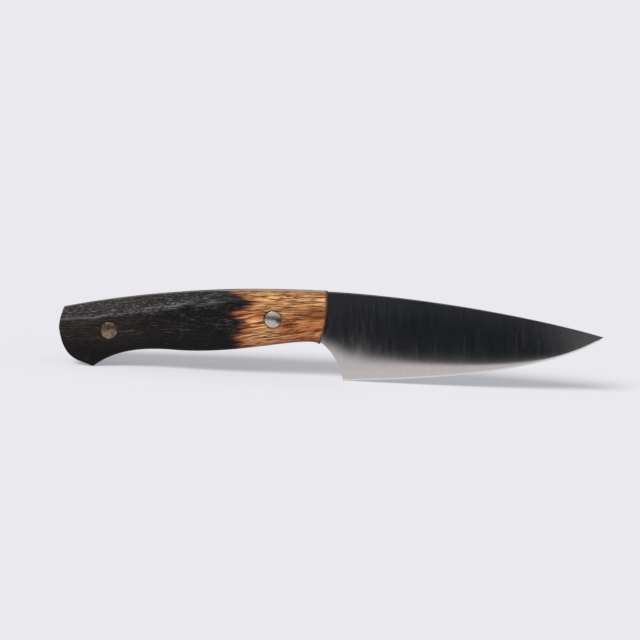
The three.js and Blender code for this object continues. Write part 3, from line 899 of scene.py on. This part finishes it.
def make_charred_oak():
    """Oak that turns to char along the handle. Pores follow the grain, crowd together in growth rings, and
    are wider and blacker near the scorched border. Painted shade darkens the rims of the pin holes, and
    darker end grain with painted shade the front end.
    Fibres, sunken pores and the cracks in the char give the surface its relief."""
    material, tree = new_material("charred_oak")
    place = object_place(tree)
    grain, level = follow_grain(tree, place)
    past = pass_border(tree, place, grain)
    scorch = rescale(tree, past, SCORCH_REACH, 0.0)
    black = rescale(tree, past, *BLACK_REACH)
    texture = turn_from_crackle(tree, place, grain, COMBED_STREAKS)
    fibres = streaks(tree, grain, *FIBRE_STREAKS)

    crowding = product(tree, crowd_pores(tree, place, level), PORES_CROWD)
    pores = calculate(tree, "SUBTRACT", streaks(tree, grain, *PORE_STREAKS), crowding)
    pores = calculate(tree, "SUBTRACT", pores, product(tree, scorch, PORES_BURN))
    pore = rescale(tree, pores, *PORE_RANGE)
    pore_shade = tint(tree, scorch, BROWN_PORE, BURNT_PORE)
    wood = paint_oak(tree, place, grain, level)
    wood = tint(tree, product(tree, pore, PORE_STRENGTH), wood, pore_shade)
    wood = lay(tree, wood, past, SCORCH_LAYER)
    wood = lay(tree, wood, past, SINGED_LAYER)
    shade = tint(tree, black, wood, paint_char(tree, place, grain, level, texture))
    # Painted shade at the pin rims, and darker end grain with painted shade at the front end.
    for mark, dark in ((RIM_MARK, RIM_PAINTED_SHADE), (FRONT_MARK, END_GRAIN_AND_SHADE)):
        shade = tint(tree, product(tree, read_mark(tree, mark), DARK_STRENGTH), shade, dark)

    rough = rescale(tree, black, 0.0, 1.0, *WOOD_ROUGHNESS)
    roughened = rescale(tree, fibres, *USUAL_RANGE, -FIBRE_ROUGHNESS, FIBRE_ROUGHNESS)
    rough = calculate(tree, "ADD", rough, roughened)
    height = calculate(tree, "MULTIPLY_ADD", fibres, FIBRE_RELIEF, product(tree, pore, PORE_RELIEF))
    height = calculate(tree, "ADD", height, product(tree, texture, black, CRACK_RELIEF))
    looks = {"Base_Color": shade, "Roughness": rough, "Specular_IOR_Level": WOOD_SHINE}
    finish_surface(tree, height, WOOD_RELIEF, **looks)
    return material


charred_oak = make_charred_oak()
for name, side in (("right", -1), ("left", 1)):
    shape, marks = scale_skin(side)
    add_piece("scale_" + name, shape, charred_oak, "handle_scale_" + name, marks)

# Pins
# Two steel rods through scales, films and tang, ground down with the wood and polished to low domes.
# The rear one sits in the char, whose heat and soot stained it brown.

REAR_DOME = 0.21
FRONT_DOME = 0.33
FRONT_LEAN = 0.8
PIN_ROUND = 0.16
PIN_TURNS = 96
DOME_STEPS = 14
PIN_SCRATCHES = (3.0, 0.12, 2.0)
PIN_SCRATCH_SLANT = np.radians(52)
PIN_SCRATCH_DEPTH = 0.0004
PIN_CLOUDS = (1.6, 0.9, 5.0)
STAIN_RANGE = (0.42, 0.58)
SCRATCHES_IN_STAIN = 0.5
SCRATCH_ROUGHNESS = 0.12
STAINED_DULL = colour(94, 75, 62)
STAINED_BRIGHT = colour(154, 132, 115)
STAINED_ROUGHNESS = 0.13
POLISHED_DULL = colour(196, 184, 177)
POLISHED_BRIGHT = colour(212, 202, 194)
POLISHED_ROUGHNESS = 0.12


def pin_skin(place, dome_height, lean):
    """Rings round Y: a spherical dome whose top lies off the axis by the lean, a quarter round rim, and the
    same mirrored at the far end."""
    ball = (pin_radius ** 2 + dome_height ** 2) / (2 * dome_height)
    angle = np.linspace(0, 2 * np.pi, PIN_TURNS, endpoint=False)[:, None]
    inner = (pin_radius - PIN_ROUND) * np.linspace(0, 1, DOME_STEPS + 1)
    off_top = (inner * np.cos(angle) - lean) ** 2 + (inner * np.sin(angle)) ** 2
    dome = handle_half - ball + np.sqrt(ball ** 2 - off_top)
    turn = np.linspace(0, np.pi / 2, CORNER_STEPS + 1)[1:]
    rim = dome[:, -1:] + PIN_ROUND * (np.cos(turn) - 1)
    half_radius = np.append(inner, inner[-1] + PIN_ROUND * np.sin(turn))
    half_depth = np.hstack([dome, rim])
    radius = np.append(half_radius, half_radius[::-1])
    depth = np.hstack([half_depth, -half_depth[:, ::-1]])
    points = np.dstack([place[0] + radius * np.cos(angle), depth, place[1] + radius * np.sin(angle)])
    numbers = np.arange(points.shape[0] * points.shape[1]).reshape(points.shape[:2])
    ahead = np.roll(numbers, -1, axis=0)
    faces = np.stack([numbers[:, :-1], numbers[:, 1:], ahead[:, 1:], ahead[:, :-1]], axis=-1)
    return points.reshape(-1, 3), faces.reshape(-1, 4)[:, ::-1]


def make_pin_steel(name, dull, bright, smooth):
    """Polished steel. Fine slanting scratches and a cloud together stain it from dull to bright, and the
    scratches roughen it."""
    material, tree = new_material(name)
    place = object_place(tree, (0, PIN_SCRATCH_SLANT, 0))
    scratches = streaks(tree, place, *PIN_SCRATCHES)
    stain = mingle(tree, SCRATCHES_IN_STAIN, streaks(tree, place, *PIN_CLOUDS), scratches)
    shade = tint(tree, rescale(tree, stain, *STAIN_RANGE), dull, bright)
    rough = rescale(tree, scratches, *USUAL_RANGE, smooth, smooth + SCRATCH_ROUGHNESS)
    finish_surface(tree, scratches, PIN_SCRATCH_DEPTH, Base_Color=shade, Metallic=1.0, Roughness=rough)
    return material


stained_pin = make_pin_steel("stained_pin_steel", STAINED_DULL, STAINED_BRIGHT, STAINED_ROUGHNESS)
bright_pin = make_pin_steel("bright_pin_steel", POLISHED_DULL, POLISHED_BRIGHT, POLISHED_ROUGHNESS)
add_piece("pin_rear", pin_skin(pin_places[0], REAR_DOME, 0.0), stained_pin, "rear_pin")
add_piece("pin_front", pin_skin(pin_places[1], FRONT_DOME, FRONT_LEAN), bright_pin, "front_pin")

# Studio
# A plain pale floor that glows a little and has its own light, a soft key light from the front, the left and
# above, and a pale dome that is dark at the horizon and higher up behind the knife. Only reflections see the
# black cards on the floor on both sides of the knife, which give polished steel its depth.

FLOOR_SIZE = 16000.0
FLOOR_BASE = (0.204, 0.196, 0.203, 1.0)
FLOOR_GLOW = (0.315, 0.327, 0.35, 1.0)


def add_flat(name, corners, height, material):
    """A level sheet with the given corners in X and Y."""
    mesh = bpy.data.meshes.new(name)
    points = [(x * MM, y * MM, height * MM) for x, y in corners]
    mesh.from_pydata(points, [], [tuple(range(len(points)))])
    mesh.materials.append(material)
    sheet = bpy.data.objects.new(name, mesh)
    bpy.context.scene.collection.objects.link(sheet)
    return sheet


def finish_matt(tree, sockets):
    """A shader without shine, and the output of a material."""
    shader = add_node(tree, "BsdfPrincipled", {"Roughness": 1.0, "Specular IOR Level": 0.0, **sockets})
    add_node(tree, "OutputMaterial", {"Surface": shader.outputs[0]})


def make_floor():
    """A plain pale sheet, lit a little from inside like a light table."""
    material, tree = new_material("pale_floor")
    glow = {"Emission Color": FLOOR_GLOW, "Emission Strength": 1.0}
    finish_matt(tree, {"Base Color": FLOOR_BASE, **glow})
    return material


half_floor = FLOOR_SIZE / 2
floor_signs = ((-1, -1), (1, -1), (1, 1), (-1, 1))
floor_corners = [(x * half_floor, y * half_floor) for x, y in floor_signs]
floor = add_flat("floor", floor_corners, 0.0, make_floor())

CARD_LIFT = 0.2
CARD_NEAR = 18.0
CARD_REACH = 3000.0
CARD_TO_BLADE = 36.5
CARD_TO_HANDLE = 107.0
CARD_STEP_LENGTH = 14.0
CARD_STEP_SLANT = 0.14
CARD_BY_CHOIL = 24.0
CHOIL_STEP = (8.5, -0.5)
SOFT_AT_HEEL = 17.0
SOFT_AHEAD = 4.5
SOFT_LENGTH = 40.0
SOFT_BY_HANDLE = 0.3
SOFT_STEP_LENGTH = 2.0
SOFT_BEYOND = 1.2
CARD_FADES = (120.0, 165.0)
CARD_EDGE_REACH = 30.0
CARD_BEFORE_TIP = (89.0, 107.0)
CARD_PALE = (0.8, 0.79, 0.825, 1.0)
NEAR_BLACK = (0.0108, 0.0148, 0.0195, 1.0)
FAR_BLACK = (0.029, 0.034, 0.042, 1.0)
EDGE_BLACK = (0.065, 0.068, 0.073, 1.0)
TIP_BLACK = (0.125, 0.128, 0.138, 1.0)


def make_graded_card():
    """Black that fades to a pale shade towards the knife. Its border is close to the blade and further from
    the handle, with a slanting smooth step between and a smaller step by the choil. It is softest at the
    heel. The black is lighter along the border, far away and in front of the tip."""
    material, tree = new_material("graded_card")
    x, y, _ = take_apart(tree, object_place(tree))
    away = calculate(tree, "ABSOLUTE", y)
    past_blade = calculate(tree, "SUBTRACT", away, CARD_TO_BLADE)
    slanted = calculate(tree, "MULTIPLY_ADD", past_blade, CARD_STEP_SLANT, x)
    step = (scales_top[0] - CARD_STEP_LENGTH, scales_top[0])
    border = rescale(tree, slanted, *step, CARD_TO_HANDLE, CARD_TO_BLADE)
    choil_step = (heel[0] + CHOIL_STEP[0], heel[0] + CHOIL_STEP[1])
    border = calculate(tree, "ADD", border, rescale(tree, x, *choil_step, 0.0, CARD_BY_CHOIL))
    soft = rescale(tree, x, heel[0], heel[0] + SOFT_LENGTH, SOFT_AT_HEEL, SOFT_AHEAD)
    soft_step = (scales_top[0] - SOFT_STEP_LENGTH, scales_top[0])
    soft = calculate(tree, "MULTIPLY", soft, rescale(tree, slanted, *soft_step, SOFT_BY_HANDLE, 1.0))
    start = calculate(tree, "SUBTRACT", border, soft)
    end = calculate(tree, "MULTIPLY_ADD", soft, SOFT_BEYOND, border)
    black = tint(tree, rescale(tree, away, *CARD_FADES), NEAR_BLACK, FAR_BLACK)
    beyond = calculate(tree, "SUBTRACT", away, border)
    black = tint(tree, rescale(tree, beyond, CARD_EDGE_REACH, 0.0), black, EDGE_BLACK)
    black = tint(tree, rescale(tree, x, *CARD_BEFORE_TIP), black, TIP_BLACK)
    finish_matt(tree, {"Base Color": tint(tree, rescale(tree, away, start, end), CARD_PALE, black)})
    return material


graded_card = make_graded_card()
for name, side in (("card_front", -1), ("card_back", 1)):
    near, far = side * CARD_NEAR, side * CARD_REACH
    corners = [(-CARD_REACH, near), (CARD_REACH, near), (CARD_REACH, far), (-CARD_REACH, far)]
    card = add_flat(name, corners[::side], CARD_LIFT, graded_card)
    card.visible_camera = False
    card.visible_diffuse = False
    card.visible_shadow = False

KEY_ELEVATION = np.radians(35)
KEY_SIDE = np.radians(29)
KEY_ENERGY = 1.75
KEY_WIDTH = np.radians(14)
FLOOR_LIGHT_ENERGY = 8.2
FLOOR_LIGHT_WIDTH = np.radians(24)


def add_sun(name, energy, width):
    """A distant light in front of the knife and to its left."""
    sun = bpy.data.objects.new(name, bpy.data.lights.new(name, "SUN"))
    sun.data.energy = energy
    sun.data.angle = width
    towards = Vector((np.sin(KEY_SIDE), np.cos(KEY_SIDE), -np.tan(KEY_ELEVATION)))
    sun.rotation_euler = towards.to_track_quat("-Z", "Y").to_euler()
    bpy.context.scene.collection.objects.link(sun)
    return sun


add_sun("key_light", KEY_ENERGY, KEY_WIDTH)
floor_light = add_sun("floor_light", FLOOR_LIGHT_ENERGY, FLOOR_LIGHT_WIDTH)
lit_by_it = bpy.data.collections.new("floor_only")
lit_by_it.objects.link(floor)
floor_light.light_linking.receiver_collection = lit_by_it

DOME_LEAN = 0.15
DOME_DIP = 0.25
DOME_HORIZON = (0.03, 0.3)
DOME_DARK = (0.03, 0.03, 0.033, 1.0)
DOME_PALE = (0.735, 0.735, 0.742, 1.0)
BACKDROP = (0.82, 0.81, 0.855, 1.0)


def make_dome():
    """The studio's dome: dark at the horizon and pale above, by a smooth step on how far a direction points
    up. It leans to the front and dips behind the knife. The camera sees a plain backdrop instead."""
    world = bpy.data.worlds.new("studio_dome")
    world.use_nodes = True
    tree = world.node_tree
    tree.nodes.clear()
    _, y, z = take_apart(tree, add_node(tree, "TexCoord").outputs["Generated"])
    up = calculate(tree, "MULTIPLY_ADD", y, -DOME_LEAN, z)
    up = calculate(tree, "MULTIPLY_ADD", calculate(tree, "MAXIMUM", y, 0.0), -DOME_DIP, up)
    dome = tint(tree, rescale(tree, up, *DOME_HORIZON), DOME_DARK, DOME_PALE)
    seen = add_node(tree, "LightPath").outputs["Is Camera Ray"]
    sky = add_node(tree, "Background", {"Color": tint(tree, seen, dome, BACKDROP)})
    add_node(tree, "OutputWorld", {"Surface": sky.outputs[0]})
    return world


bpy.context.scene.world = make_dome()
bpy.context.scene.view_settings.view_transform = "Standard"

# Camera
# A long lens from the front, a little above the knife and tilted slightly about its own axis.
# It sees the whole knife, from the right-hand side.

CAMERA_ELEVATION = np.radians(9)
CAMERA_ROLL = np.radians(4)
CAMERA_DISTANCE = 1200.0
CAMERA_TARGET = (-4.91, 0.0, 22.58)
PICTURE_WIDTH = 242.56

camera = bpy.data.objects.new("camera", bpy.data.cameras.new("camera"))
camera.data.lens = camera.data.sensor_width * CAMERA_DISTANCE / PICTURE_WIDTH
back = Vector((0, -np.cos(CAMERA_ELEVATION), np.sin(CAMERA_ELEVATION)))
place = (Vector(CAMERA_TARGET) + back * CAMERA_DISTANCE) * MM
turned = Matrix.Rotation(CAMERA_ROLL, 3, back) @ back.to_track_quat("Z", "Y").to_matrix()
camera.matrix_world = Matrix.Translation(place) @ turned.to_4x4()
bpy.context.scene.collection.objects.link(camera)
bpy.context.scene.camera = camera
